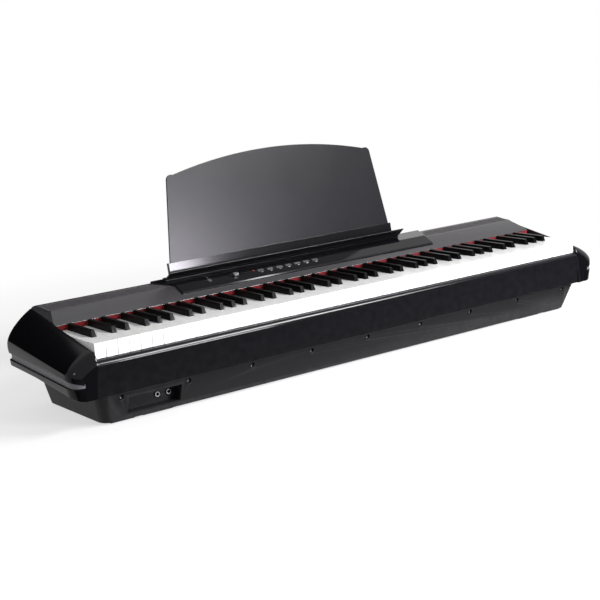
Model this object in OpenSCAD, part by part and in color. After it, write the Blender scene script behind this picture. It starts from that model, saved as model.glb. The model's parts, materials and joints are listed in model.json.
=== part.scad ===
// Slab digital piano with 88 keys, a music rest and a stand pattern underneath.
// Side profiles are points [y, z] from the keyboard datum, which is the top front
// edge of the white keys. The module at_datum() lifts them onto the floor, z = 0.

/* [Keyboard] */
// Distance from one white key to the next
white_pitch = 23.5; // [20:0.1:28.2]
// Gap between two white keys
key_gap = 1; // [0.8:0.1:1.6]
// Gap between a black key and the white keys beside it
black_gap = 1.2; // [0.8:0.1:1.6]
// Length of white key that shows in front of the panel
white_len = 142.4; // [130:0.1:160]
// Length of white key in front of the black keys
white_front = 47.9; // [40:0.1:58]
// Depth of the front face of a white key
key_skirt = 30; // [28:0.5:34]
// Height of the body of a key
key_body_h = 16; // [14:0.5:18]
// Wall of a key
key_wall = 2; // [1.6:0.1:2.4]
// Height of a black key above the white ones
black_h = 11.8; // [9:0.1:14]
// Width of a black key at its foot
black_foot_w = 9.6; // [8.2:0.1:10.4]
// Width of a black key at its top
black_top_w = 6.8; // [6:0.1:8]
// Distance of the key shaft behind the front edge of the white keys
pivot_y = 222; // [214:1:226]
// Depth of the key shaft below the top of the white keys
pivot_drop = 11; // [10:0.5:12]
// Radius of the key shaft
shaft_r = 2.5; // [2:0.1:3]
// Clearance between the key shaft and the eye of a key
eye_clear = 0.3; // [0.2:0.05:0.4]
// Distance a white key sinks at its front edge
key_dip = 10; // [8:0.5:11]

/* [Case] */
// Height of the white keys above the floor
key_top_h = 157; // [145:1:190]
// Depth of the case from front to back
case_depth = 268; // [260:1:322]
// Width of one end cheek
cheek_w = 54.5; // [45:0.5:66]
// Gap between the last key and the cheek
cheek_gap = 1.5; // [1:0.1:2.5]
// Thickness of the key slip in front of the keys
slip_t = 13; // [12:0.5:16]
// Depth of the top of the key slip below the top of the keys
slip_drop = 28; // [24:0.5:29]
// Depth of the joint between upper and lower case below the top of the keys
split_drop = 97; // [90:1:105]
// Wall of the case shells
wall = 3; // [2.5:0.1:4]
// Height of the rubber feet
foot_h = 3; // [2:0.5:6]
// Distance the front of the lower case runs back at the floor
front_tuck = 20; // [10:1:26]
// Distance each end of the lower case runs in at the floor
end_tuck = 16; // [8:1:24]
// Radius of the upright corners of the lower case
corner_r = 22; // [14:1:30]
// Number of screws along the front of the lower case
front_screw_count = 9; // [3:2:13]
// Distance between two of those screws
front_screw_pitch = 142; // [100:1:146]

/* [Panel] */
// Height of the front lip of the panel above the white keys
lip_h = 11; // [9:0.5:14]
// Depth of the sloping part of the panel
slope_d = 43.6; // [38:0.1:48]
// Rise of the sloping part of the panel
slope_h = 21; // [17:0.5:25]
// Rise of the flat part of the panel towards the back
top_rise = 4; // [2:0.5:6]
// Distance the back wall leans out below the top edge
rear_lean = 17; // [10:1:20]
// Height of the raised control panel above the case
raise = 4; // [3:0.5:5]
// Half width of the control panel at its front edge
panel_front_half = 328; // [320:1:340]
// Half width of the control panel at its rear edge
panel_rear_half = 357; // [345:1:370]
// Length of bare slope below the control panel
panel_setback = 15; // [12:0.5:18]
// Size of a function button along the case
button_w = 14; // [10:0.5:18]
// Size of a function button up the slope
button_d = 6; // [5:0.5:7]
// Distance from one function button to the next
button_pitch = 23.2; // [20:0.1:27]
// Place of the first function button along the case
button_x = -128; // [-140:1:-110]
// Distance of the row of controls up the slope
row_s = 39.5; // [38:0.5:40.5]
// Travel of the buttons
button_travel = 1.2; // [0.8:0.1:1.4]
// Clearance around everything that slides in the panel
slide_clear = 0.4; // [0.3:0.05:0.6]
// Length of the slot of the volume slider
slider_slot = 38; // [32:1:46]

/* [Grilles and speakers] */
// Length of a speaker grille along its front edge
grille_len = 268; // [230:1:272]
// Distance the inner end of a grille slants
grille_slant = 27; // [10:1:32]
// Depth of a speaker grille
grille_d = 41; // [34:1:44]
// Thickness of a speaker grille
grille_t = 1.6; // [1.2:0.1:2]
// Number of slots in a speaker grille
grille_slots = 37; // [20:1:44]
// Length of a speaker
speaker_len = 120; // [100:1:150]
// Width of a speaker
speaker_w = 34; // [30:1:36]

/* [Music rest] */
// Place of the middle of the music rest along the case
rest_x = -30; // [-40:1:40]
// Distance of the front of the rest plate behind the front of the keys
rest_y = 215; // [208:1:218]
// Lean of the rest plate away from the player
rest_lean = 8.9; // [6:0.1:12]
// Width of the rest plate at its foot
rest_foot_w = 568; // [480:1:640]
// Width of the rest plate at its shoulders
rest_top_w = 524; // [440:1:600]
// Height of the shoulders of the rest plate
rest_side_h = 200; // [160:1:240]
// Rise of the arch above the shoulders
rest_arch = 33; // [20:1:45]
// Thickness of the rest plate
rest_t = 3.6; // [3:0.1:4.5]
// Height of the holder that grips the plate
holder_h = 31; // [24:1:40]
// Width of the holder and its lip
holder_w = 606; // [500:1:680]
// Distance the lip reaches towards the player
lip_reach = 20; // [14:1:24]
// Rise of the lip
lip_rise = 16; // [10:1:20]
// Width of a peg under the holder
peg_w = 40; // [30:1:60]
// Thickness of a peg under the holder
peg_t = 5; // [4:0.5:6]
// Depth of a peg below the control panel
peg_len = 14; // [11:1:16]
// Distance between the middles of the two pegs
peg_span = 360; // [300:1:420]

/* [Stand fixings and sockets] */
// Distance between the stand inserts along the case
insert_span_x = 960; // [800:1:1040]
// Distance between the stand inserts from front to back
insert_span_y = 140; // [120:1:150]
// Radius of the threaded bore of a stand insert
insert_r = 2.5; // [2:0.1:3.3]
// Length of a stand insert
insert_len = 12; // [10:1:15]
// Radius of the bore of a headphone or pedal socket
jack_r = 3.2; // [3:0.05:3.4]
// Radius of the bore of the power inlet
inlet_r = 2.8; // [2.5:0.05:3.2]
// Place of the left end of the headphone recess
recess_x = -552; // [-560:1:-520]
// Length of the headphone recess
recess_w = 112; // [100:1:120]

/* [Hidden] */
$fn = 40;
eps = 0.01;

// Keyboard layout: notes 0 to 11 are C to B, and octave 0 holds only A and B.
white_count = 52;
half_keys = white_count * white_pitch / 2;
white_of_note = [0, 1, 1, 2, 2, 3, 4, 4, 5, 5, 6, 6];
shift_of_note = [0, -2.06, 0, 2.06, 0, 0, -3.31, 0, 0, 0, 3.31, 0];
white_notes = [0, 2, 4, 5, 7, 9, 11];
black_notes = [1, 3, 6, 8, 10];
key_clear = black_foot_w / 2 + black_gap;
tail_end = white_len + 6;
dip_angle = asin(key_dip / pivot_y);
eye_r = shaft_r + eye_clear + 2.7;
arm_w = 8;

// Case planes measured from the datum
front_y = -slip_t;
rear_y = case_depth - slip_t;
floor_z = -key_top_h;
bottom_z = floor_z + foot_h;
split_z = -split_drop;
end_x = half_keys + cheek_gap;
case_half = end_x + cheek_w;
lower_half = end_x + 1.5;
lower_rear_y = rear_y - 14;
centre_y = case_depth / 2 - slip_t;
ridge_y = white_len + slope_d;
ridge_z = lip_h + slope_h;
top_y = rear_y - rear_lean;
top_z = ridge_z + top_rise;
slope_a = atan(slope_h / slope_d);
top_a = atan(top_rise / (top_y - ridge_y));
chassis_z = -58;
stop_z = -key_body_h - key_dip * (pivot_y - 13) / pivot_y - 0.3;
rest_z = top_z + raise + 1.5;
rear_bend_z = split_z + 11;

function white_index(o, n) = 7 * o + white_of_note[n] - 5;
function white_x(o, n) = (white_index(o, n) - white_count / 2) * white_pitch;
function black_x(o, n) = white_x(o, n) + shift_of_note[n];
function is_black(n) = len(search(n, black_notes)) > 0;
function black_on_left(o, n) = n > 0 && is_black(n - 1) && !(o == 0 && n == 9);
function black_on_right(o, n) = n < 11 && is_black(n + 1) && o < 8;
function tail_left(o, n) =
  black_on_left(o, n) ? black_x(o, n - 1) + key_clear : white_x(o, n) + key_gap / 2;
function tail_right(o, n) =
  black_on_right(o, n) ? black_x(o, n + 1) - key_clear
                       : white_x(o, n) + white_pitch - key_gap / 2;
function tail_mid(o, n) = (tail_left(o, n) + tail_right(o, n)) / 2;
function slope_z(y) = lip_h + (y - white_len) * slope_h / slope_d;
function cap_z(y) = ridge_z + (y - ridge_y) * top_rise / (top_y - ridge_y);
// Underside of the slope, and the straight top edge of a cheek
lip_t = 1.4;
skin_back = ridge_y + 1;
function skin_z(y) = lip_h - lip_t
  + (y - white_len) * (ridge_z - wall - lip_h + lip_t) / (skin_back - white_len);
edge_front_z = -14.5;
edge_rise = top_z - 4.5 - edge_front_z;
function edge_z(y) = edge_front_z + y * edge_rise / top_y;

module at_datum() translate([0, -centre_y, key_top_h]) children();
// Extrudes a side profile of [y, z] points from x0 to x1.
module bar(x0, x1, points)
  translate([x0, 0, 0]) rotate([90, 0, 90]) linear_extrude(x1 - x0) polygon(points);
module block(lo, hi) translate(lo) cube(hi - lo);
// Local frames: y runs up the slope or back along the top, z stands off the skin.
module on_slope(x, s) translate([x, white_len, lip_h]) rotate([slope_a, 0, 0])
  translate([0, s, 0]) children();
module on_top() translate([0, ridge_y, ridge_z]) rotate([top_a, 0, 0]) children();
module in_rest() translate([rest_x, rest_y, rest_z]) rotate([-rest_lean, 0, 0]) children();
module rod(from, r, h, axis) translate(from)
  rotate(axis == "x" ? [0, 90, 0] : axis == "y" ? [-90, 0, 0] : [0, 0, 0])
    cylinder(r = r, h = h);
module on_side(s) mirror([s < 0 ? 1 : 0, 0, 0]) children();

// ---- Keys ----
// Arm of a key: it runs back under the panel and ends in an eye around the shaft.
module key_arm(mid, from) {
  difference() {
    union() {
      block([mid - arm_w / 2, from, -key_body_h], [mid + arm_w / 2, pivot_y, -pivot_drop + 4]);
      rod([mid - arm_w / 2, pivot_y, -pivot_drop], eye_r, arm_w, "x");
    }
    rod([mid - arm_w, pivot_y, -pivot_drop], shaft_r + eye_clear, 2 * arm_w, "x");
  }
}
module white_key(o, n) color("white") {
  left = white_x(o, n) + key_gap / 2;
  right = left + white_pitch - key_gap;
  tail_l = tail_left(o, n);
  tail_r = tail_right(o, n);
  head = white_front - black_gap;
  difference() {
    union() {
      block([left, 0, -key_body_h], [right, head, 0]);
      block([left, 0, -key_skirt], [right, key_wall, 0]);
      block([tail_l, head - eps, -key_body_h], [tail_r, tail_end, 0]);
    }
    block([left + key_wall, key_wall, -key_body_h - 1],
          [right - key_wall, head - key_wall, -key_wall]);
    block([tail_l + key_wall, head - key_wall - eps, -key_body_h - 1],
          [tail_r - key_wall, tail_end - key_wall, -key_wall]);
  }
  key_arm(tail_mid(o, n), tail_end - key_wall);
}
module black_key(o, n) color("#101012") {
  mid = black_x(o, n);
  foot = black_foot_w / 2;
  top = black_top_w / 2;
  nose = 4;
  difference() {
    union() {
      block([mid - foot, white_front, -key_body_h], [mid + foot, tail_end, -1]);
      intersection() {
        bar(mid - foot, mid + foot, [
          [white_front, -1 - eps], [white_front + nose, black_h],
          [white_len - 1.2, black_h], [white_len - 1.2, -1 - eps]]);
        translate([mid, 0, 0]) rotate([90, 0, 0]) translate([0, 0, -tail_end])
          linear_extrude(tail_end) polygon([[-foot, -1 - eps], [-foot, 0],
            [-top, black_h], [top, black_h], [foot, 0], [foot, -1 - eps]]);
      }
    }
    block([mid - foot + key_wall, white_front + key_wall, -key_body_h - 1],
          [mid + foot - key_wall, tail_end - key_wall, -1 - key_wall]);
  }
  key_arm(mid, tail_end - key_wall);
}
module single_key(n) at_datum() {
  if (is_black(n)) black_key(4, n);
  else white_key(4, n);
}
// A bank is one octave of keys that swing together.
module naturals(o) at_datum() {
  if (o == 1) for (n = [9, 11]) white_key(0, n);
  for (n = white_notes) white_key(o, n);
  if (o == 7) white_key(8, 0);
}
module sharps(o) at_datum() {
  if (o == 1) black_key(0, 10);
  for (n = black_notes) black_key(o, n);
}

// ---- Key bed ----
// Shaft brackets stand between E and F, and between B and C, in each octave.
bracket_x = [for (o = [1 : 7]) each [white_x(o, 0), white_x(o, 5)], white_x(8, 0)];
pillar_x = [for (i = [-2 : 2]) i * half_keys * 0.45];
pillar_y = [62, 186];
module key_chassis() color("#8d8f92") at_datum() {
  plate_x = half_keys - 2;
  difference() {
    union() {
      block([-plate_x, 6, chassis_z], [plate_x, 238, chassis_z + wall]);
      block([-plate_x, 6, chassis_z], [plate_x, 9, stop_z - 3]);
      block([-plate_x, 6, stop_z - 6], [plate_x, 21, stop_z - 3]);
      block([-plate_x, 235, chassis_z], [plate_x, 238, -30]);
      for (x = bracket_x) difference() {
        block([x - 1.5, pivot_y - 9, chassis_z], [x + 1.5, 238, -pivot_drop + 6]);
        rod([x - 3, pivot_y, -pivot_drop], shaft_r, 6, "x");
      }
      for (x = pillar_x) for (y = pillar_y)
        rod([x, y, chassis_z], 6, 10, "z");
      for (y = [92, 128]) block([-plate_x, y - 2, chassis_z], [plate_x, y + 2, -36]);
      block([-plate_x, 196, chassis_z], [plate_x, 208, -46]);
    }
    for (x = pillar_x) for (y = pillar_y)
      rod([x, y, chassis_z - 1], 1.9, 12, "z");
  }
}
module key_shaft() color("silver") at_datum()
  rod([-half_keys + 1, pivot_y, -pivot_drop], shaft_r, 2 * half_keys - 2, "x");
module key_felt() color("#b01020") at_datum() {
  front = white_len + 0.5;
  back = white_len + 6;
  bar(-half_keys, half_keys, [[front, 1], [back, 1], [back, skin_z(back)], [front, skin_z(front)]]);
}
module stop_felt() color("#7a2030") at_datum()
  block([-half_keys + 2, 8, stop_z - 3], [half_keys - 2, 18, stop_z]);
module key_springs() color("#b9bcc0") at_datum() {
  block([-half_keys + 4, 197, -46], [half_keys - 4, 207, -45.2]);
  for (o = [0 : 8]) for (n = [0 : 11])
    if ((o > 0 || n > 8) && (o < 8 || n == 0)) {
      mid = is_black(n) ? black_x(o, n) : tail_mid(o, n);
      bar(mid - 2, mid + 2, [[198, -45.3], [201, -45.3], [166, -20.2], [163, -20.2]]);
    }
}
module contact_board() color("#1f6b3a") at_datum() {
  block([-half_keys + 6, 88, -36], [half_keys - 6, 132, -34.4]);
  color("#d8d4c8") for (y = [100, 116])
    block([-half_keys + 8, y - 3, -34.4], [half_keys - 8, y + 3, -29]);
}

// ---- Case ----
// Outline of the lower case at one height, pulled in by an amount all round.
module lower_outline(z, tuck_front, tuck_end, inset, h) {
  r = corner_r - inset;
  x = lower_half - tuck_end - inset - r;
  for (sx = [-1, 1]) for (y = [front_y + 8 + tuck_front + inset + r,
                               lower_rear_y - inset - r])
    translate([sx * x, y, z]) cylinder(r = r, h = h);
}
module lower_shell(inset, low, high) hull() {
  lower_outline(bottom_z + low, front_tuck, end_tuck, inset, eps);
  lower_outline(split_z - eps + high, 0, 0, inset, eps);
}
foot_places = [[-1, 1], [1, 1], [-1, 0], [1, 0]];
foot_x = half_keys - 54;
front_foot_x = half_keys - 128;
foot_front_y = front_y + 8 + front_tuck + 16;
foot_rear_y = lower_rear_y - 30;
insert_y = [centre_y + 18 - insert_span_y / 2, centre_y + 18 + insert_span_y / 2];
front_screw_x = [for (i = [0 : front_screw_count - 1])
  (i - (front_screw_count - 1) / 2) * front_screw_pitch];
front_screw_z = split_z - 9;
recess_top = split_z - 13;
recess_bottom = bottom_z + 12;
recess_back = 30;
jack_z = (recess_top + recess_bottom) / 2;
jack_x = [recess_x + 74, recess_x + 98];
function front_face_y(z) =
  front_y + 8 + front_tuck * (split_z - z) / (split_z - bottom_z);
module lower_case() color("#3a3a3d") at_datum() {
  pocket = [recess_x + recess_w, recess_back, recess_top];
  difference() {
    union() {
      difference() {
        lower_shell(0, 0, 0);
        lower_shell(wall, wall, wall);
      }
      block([recess_x - wall, front_face_y(recess_bottom) + 1, recess_bottom - wall],
            pocket + [wall, wall, wall]);
      for (x = pillar_x) for (y = pillar_y)
        rod([x, y, bottom_z + 1], 7, chassis_z - bottom_z - 1, "z");
      for (x = [-1, 1] * insert_span_x / 2) for (y = insert_y)
        rod([x, y, bottom_z + 1], 9, insert_len + 1, "z");
      for (x = front_screw_x) rod([x, front_face_y(front_screw_z) + 1, front_screw_z],
        7.5, 7, "y");
    }
    // Recess of the headphone sockets, open to the front, and their two holes
    block([recess_x, front_y - 10, recess_bottom], pocket);
    for (x = jack_x) rod([x, recess_back - 1, jack_z], 5.2, wall + 2, "y");
    // Screw channels up to the key chassis, counterbored from below
    for (x = pillar_x) for (y = pillar_y) {
      rod([x, y, bottom_z - 1], 4.6, chassis_z - bottom_z - 7, "z");
      rod([x, y, bottom_z], 1.9, chassis_z - bottom_z + 1, "z");
    }
    for (x = [-1, 1] * insert_span_x / 2) for (y = insert_y)
      rod([x, y, bottom_z - 1], insert_r + 2.5, insert_len + 1, "z");
    // Pockets and holes of the front screws
    for (x = front_screw_x) {
      rod([x, front_y - 5, front_screw_z], 5,
          5 + 8 + front_face_y(front_screw_z) - front_y - 3, "y");
      rod([x, 0, front_screw_z], 1.7, 20, "y");
    }
  }
}
// Skin of the upper case: lip, slope, flat top and back wall as one folded sheet.
module upper_case() color("#1b1b1e") at_datum() {
  difference() {
    bar(-end_x, end_x, [
      [white_len, lip_h], [ridge_y, ridge_z], [top_y - 1.5, cap_z(top_y - 1.5)],
      [top_y + 1.2, top_z - 1.6], [rear_y, -10], [rear_y, rear_bend_z], [rear_y - 11, split_z],
      [rear_y - 11 - wall, split_z], [rear_y - wall, rear_bend_z - 1], [rear_y - wall, -10],
      [top_y - 2.4, top_z - wall], [skin_back, ridge_z - wall], [white_len, lip_h - lip_t]]);
    for (s = [-1, 1]) on_side(s) {
      // Bevel down to the straight edge of the cheek
      translate([end_x, 0, edge_z(0) + 0.3])
        rotate([atan(edge_rise / top_y), 0, 0]) rotate([0, 35, 0])
          block([-60, 100, 0], [30, top_y + 30, 60]);
      on_top() {
        translate([0, 0, -grille_t - 0.1]) linear_extrude(5) grille_plan(0.3);
        translate([0, 0, -6]) linear_extrude(10) grille_plan(-2.5);
      }
    }
    // Window for the stems of the controls
    on_slope(0, row_s) block([-290, -8, -6], [60, 7, 3]);
    rest_slots();
    rear_window(0.2);
  }
}
// Plan of a grille on the right side: grow is added all round.
module grille_plan(grow) {
  x0 = panel_front_half + 6;
  polygon([
    [x0 - grow, 3 - grow], [x0 + grille_len + grow, 3 - grow],
    [x0 + grille_len + grow, 3 + grille_d + grow],
    [x0 + grille_slant - grow, 3 + grille_d + grow]]);
}
module grille(s) color("#4a4a4e") at_datum() on_side(s) on_top() {
  x0 = panel_front_half + 6 + grille_slant;
  pitch = (grille_len - grille_slant - 6) / grille_slots;
  difference() {
    translate([0, 0, -grille_t]) linear_extrude(grille_t) grille_plan(0);
    for (i = [0 : grille_slots - 1])
      block([x0 + (i + 0.5) * pitch, 7, -grille_t - 1],
            [x0 + (i + 1) * pitch, grille_d - 1, 1]);
  }
}
module speaker(s) color("#222226") at_datum() on_side(s) on_top() {
  mid = [panel_front_half + 6 + grille_len / 2 + 8, 3 + grille_d / 2];
  half = speaker_len / 2 - speaker_w / 2;
  translate([mid[0], mid[1], 0]) difference() {
    union() {
      translate([0, 0, -wall - 2]) linear_extrude(2) racetrack(half, speaker_w / 2);
      translate([0, 0, -wall - 13]) linear_extrude(11 + eps) racetrack(half, speaker_w / 2 - 3);
      translate([0, 0, -wall - 19]) cylinder(r = 14, h = 7);
    }
    translate([0, 0, -wall - 9]) linear_extrude(10) racetrack(half, speaker_w / 2 - 5);
  }
}
module racetrack(half, r) {
  square([2 * half, 2 * r], center = true);
  for (x = [-half, half]) translate([x, 0]) circle(r);
}
// Section of a cheek at one depth: a crowned shoulder between the top edge and the side.
function cheek_section(top, shoulder, inset) = let (
  x0 = end_x + 3.5, w = cheek_w - 3.5 - inset, h = top - shoulder)
  concat([[end_x, split_z], [end_x, top]],
    [for (t = [0 : 10 : 90]) [x0 + w * sin(t), top - h * (0.5 * sin(t) + 0.5 - 0.5 * cos(t))]],
    [[x0 + w - 1, shoulder - 22], [x0 + w - 6, split_z]]);
// Depth, inset of the side and drop of the top edge along the length of a cheek.
cheek_stations = [
  [front_y, 24, 24], [front_y + 2.5, 14, 13], [front_y + 8, 6, 5], [front_y + 17, 1.5, 0],
  [front_y + 27, 0, 0], [top_y, 0, 0], [rear_y - 8, 2.5, 18], [rear_y - 2, 9, 34],
  [rear_y, 16, 44]];
function shoulder_z(y) = -50 + y * 25 / top_y;
module cheek(s) color("#0d0d10") at_datum() on_side(s) difference() {
  hull() for (c = cheek_stations) {
    y = min(c[0], rear_y - eps);
    translate([0, y + eps, 0]) rotate([90, 0, 0]) linear_extrude(eps)
      polygon(cheek_section(edge_z(c[0]) - c[2], shoulder_z(c[0]) - c[2] / 3, c[1]));
  }
  // The underside rises towards the back outside the lower case
  bar(lower_half + 6, case_half + 1, [[rear_y + 5, split_z - 1], [rear_y + 5, -69],
    [0.55 * rear_y, -75.5], [20, -88], [front_y - 1, split_z + 0.5], [front_y - 1, split_z - 1]]);
  groove();
  // Hollow that opens towards the keys, above the closed underside
  bar(end_x - 1, case_half - 12, [[14, -84], [14, -40], [top_y - 12, -6],
    [top_y - 12, -66], [0.55 * rear_y, -72]]);
}
// Lens-shaped groove along the side of a cheek, closed in front and open behind.
module groove() hull() {
  groove_at(rear_y + 5, -44, -57);
  groove_at(20, -57, -70.5);
  groove_at(-14, -64.5, -71.5);
  groove_at(-26, -69.5, -71.5);
}
module groove_at(y, high, low)
  translate([case_half, y, 0]) rotate([90, 0, 0]) linear_extrude(eps)
    polygon([[4, high + 1], [-9, (2 * high + low) / 3], [-5, low], [4, low]]);
module key_slip() color("#0d0d10") at_datum() {
  back = -1.2;
  r = 11;
  top = -slip_drop;
  difference() {
    union() {
      bar(-end_x, end_x, concat(
        [[back, split_z], [back, top]],
        [for (t = [0 : 15 : 90]) [front_y + r - r * sin(t), top - 1 - r + r * cos(t)]],
        [[front_y + 4, split_z]]));
      for (x = front_screw_x)
        block([x - 7, front_face_y(front_screw_z) + 8, split_z - 14],
              [x + 7, front_face_y(front_screw_z) + 14, split_z + 4]);
      for (x = front_screw_x)
        block([x - 7, back - eps, split_z], [x + 7, front_face_y(front_screw_z) + 14,
              split_z + 4]);
    }
    for (x = front_screw_x) rod([x, 0, front_screw_z], 1.7, 20, "y");
    // Hollow back of the slip
    bar(-end_x + wall, end_x - wall, [[back + 1, split_z + 8], [back + 1, top - 6],
      [front_y + wall + 2, top - 12], [front_y + wall + 2, split_z + 8]]);
  }
}

// ---- Control panel ----
module control_panel() color("#0b0b0d") at_datum() {
  a = white_len + panel_setback;
  b = top_y - 2;
  difference() {
    intersection() {
      bar(-panel_rear_half, panel_rear_half, [
        [a, slope_z(a)], [a - 0.6, slope_z(a) + 2], [a + 1.2, slope_z(a) + raise + 0.6],
        [ridge_y - 1.2, ridge_z + raise], [b - 1.5, cap_z(b) + raise], [b, cap_z(b) + raise - 1.5],
        [b, cap_z(b)], [ridge_y, ridge_z]]);
      translate([0, 0, -10]) linear_extrude(80) polygon([
        [-panel_front_half, a - 5], [panel_front_half, a - 5],
        [panel_front_half, ridge_y], [panel_rear_half, b + 5],
        [-panel_rear_half, b + 5], [-panel_front_half, ridge_y]]);
    }
    for (i = [0 : 6]) on_slope(button_x + i * button_pitch, row_s) {
      translate([0, 0, raise / 2])
        cube([button_w + 2 * slide_clear, button_d + 2 * slide_clear, raise * 3], center = true);
    }
    on_slope(power_x, row_s) translate([0, 0, -5]) cylinder(r = power_r + slide_clear, h = 15);
    on_slope(slider_x, row_s) cube([slider_slot, 2.4, 20], center = true);
    on_slope(led_x, led_s) translate([0, 0, -5]) cylinder(r = 1.5, h = 15);
    rest_slots();
  }
}
power_x = -253;
power_r = 5;
slider_x = -190;
led_x = -143;
led_s = row_s + 4;
board_n = -11.5;
switch_n = -7.6;
module function_button(i) color("#2b2b30") at_datum()
  on_slope(button_x + (i - 1) * button_pitch, row_s) {
    block([-button_w / 2, -button_d / 2, -0.4], [button_w / 2, button_d / 2, raise + 1.4]);
    block([-button_w / 2 - 1.5, -button_d / 2 - 1.2, -2.2],
          [button_w / 2 + 1.5, button_d / 2 + 1.2, -0.4]);
    translate([0, 0, switch_n + 1.5]) cylinder(r = 2, h = 5);
  }
module power_button() color("#3a3a40") at_datum() on_slope(power_x, row_s) {
  translate([0, 0, -0.4]) cylinder(r = power_r, h = raise + 2);
  translate([0, 0, -2.2]) cylinder(r = power_r + 1.5, h = 1.8);
  translate([0, 0, switch_n + 1.5]) cylinder(r = 2, h = 5);
}
module volume_slider() color("#c9c9cc") at_datum() on_slope(slider_x, row_s) {
  block([-5, -4, raise + 0.4], [5, 4, raise + 5]);
  block([-2.5, -0.8, -4], [2.5, 0.8, raise + 1]);
}
module power_led() color("#d01818") at_datum() on_slope(led_x, led_s)
  translate([0, 0, -1]) {
    cylinder(r = 1.5, h = raise + 1.3);
    translate([0, 0, -1.2]) cylinder(r = 2.2, h = 1.2);
  }
// Board under the slope, with the switches and the slide control that the caps press.
module panel_board() color("#1f6b3a") at_datum() on_slope(0, row_s) {
  block([-280, -12, board_n - 1.6], [50, 12, board_n]);
  for (x = [-270, 40]) for (y = [-9.5, 9.5]) translate([x, y, board_n])
    cylinder(r = 1.8, h = -wall - board_n - 0.3);
  color("#202020") for (i = [0 : 6])
    block([button_x + i * button_pitch - 3, -3, board_n],
          [button_x + i * button_pitch + 3, 3, switch_n]);
  color("#202020") block([power_x - 3, -3, board_n], [power_x + 3, 3, switch_n]);
  color("#9a9a9e") block([slider_x - 24, -4, board_n], [slider_x + 24, 4, -4.6]);
}

// ---- Music rest ----
module rest_slots() for (s = [-1, 1])
  block([rest_x + s * peg_span / 2 - peg_w / 2 - slide_clear, rest_y + 0.5 - slide_clear, 0],
        [rest_x + s * peg_span / 2 + peg_w / 2 + slide_clear,
         rest_y + 0.5 + peg_t + slide_clear, 80]);
module rest_holder() color("#141417") at_datum() {
  x0 = rest_x - holder_w / 2;
  x1 = rest_x + holder_w / 2;
  base = cap_z(rest_y) + raise + 0.4;
  difference() {
    union() {
      // Lip that rises towards the player, and the foot of the trough
      bar(x0, x1, [
        [rest_y - 5 - lip_reach, rest_z + lip_rise], [rest_y - 4, rest_z - 1],
        [rest_y - 8, base], [rest_y + 8.5, base + 0.6], [rest_y + 8.5, rest_z + 3],
        [rest_y - 2, rest_z + 2.4], [rest_y - 5 - lip_reach + 1.6, rest_z + lip_rise + 2]]);
      in_rest() block([-rest_foot_w / 2 - 5, -1.8, 0], [rest_foot_w / 2 + 5, rest_t + 3, holder_h]);
    }
    in_rest() block([-rest_foot_w / 2, 0, 2], [rest_foot_w / 2, rest_t, holder_h + 5]);
  }
  for (s = [-1, 1])
    block([rest_x + s * peg_span / 2 - peg_w / 2, rest_y + 0.5, cap_z(rest_y) + raise - peg_len],
          [rest_x + s * peg_span / 2 + peg_w / 2, rest_y + 0.5 + peg_t, base + 1.5]);
}
// Plate with a tapered outline, round shoulders and an arched top.
function arch_z(f) = rest_side_h + rest_arch * (1 - f * f);
module music_rest() color("#2e2e33") at_datum() in_rest()
  translate([0, rest_t, 0]) rotate([90, 0, 0]) linear_extrude(rest_t) {
    top = rest_top_w / 2;
    r = 12;
    polygon(concat(
      [[-rest_foot_w / 2, 2], [rest_foot_w / 2, 2], [rest_foot_w / 2, holder_h + 1]],
      [for (t = [0 : 15 : 75]) [top - r + r * cos(t), rest_side_h - r * 0.6 + r * sin(t)]],
      [for (i = [9 : -1 : -9]) [i / 10 * top, arch_z(i / 10)]],
      [for (t = [105 : 15 : 180]) [-top + r + r * cos(t), rest_side_h - r * 0.6 + r * sin(t)]],
      [[-rest_foot_w / 2, holder_h + 1]]));
  }

// ---- Boards, sockets and fastenings ----
module main_board() at_datum() {
  z = bottom_z + wall;
  color("#1f6b3a") block([-190, 84, z + 6], [90, 164, z + 7.6]);
  color("#c8c8cc") for (x = [-180, 80]) for (y = [92, 156]) rod([x, y, z], 3.5, 6, "z");
  color("#202020") {
    block([-150, 100, z + 7.6], [-118, 132, z + 10]);
    block([-90, 96, z + 7.6], [-60, 116, z + 10]);
    block([-20, 130, z + 7.6], [30, 142, z + 26]);
  }
  color("#30507a") for (x = [-95, -75, -55]) rod([x, 146, z + 7.6], 6, 16, "z");
}
module headphone_jacks() color("#151517") at_datum() {
  for (x = jack_x) difference() {
    union() {
      rod([x, recess_back - 3, jack_z], 5.2, 9, "y");
      block([x - 8, recess_back + wall, jack_z - 8], [x + 8, recess_back + wall + 24, jack_z + 8]);
    }
    rod([x, recess_back - 4, jack_z], jack_r, 24, "y");
  }
  block([jack_x[0] - 10, recess_back + wall + 24, jack_z - 10],
        [jack_x[1] + 10, recess_back + wall + 25.6, jack_z + 10]);
}
socket_x = 440;
socket_depth = 30;
socket_z = chassis_z - 10.5;
socket_half = [66, 11];
module rear_window(grow)
  block([socket_x - socket_half[0] - grow, rear_y - 10, socket_z - socket_half[1] - grow],
        [socket_x + socket_half[0] + grow, rear_y + 10, socket_z + socket_half[1] + grow]);
pedal_x = socket_x - 18;
inlet_x = socket_x - 48;
usb_x = socket_x + 14;
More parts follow.
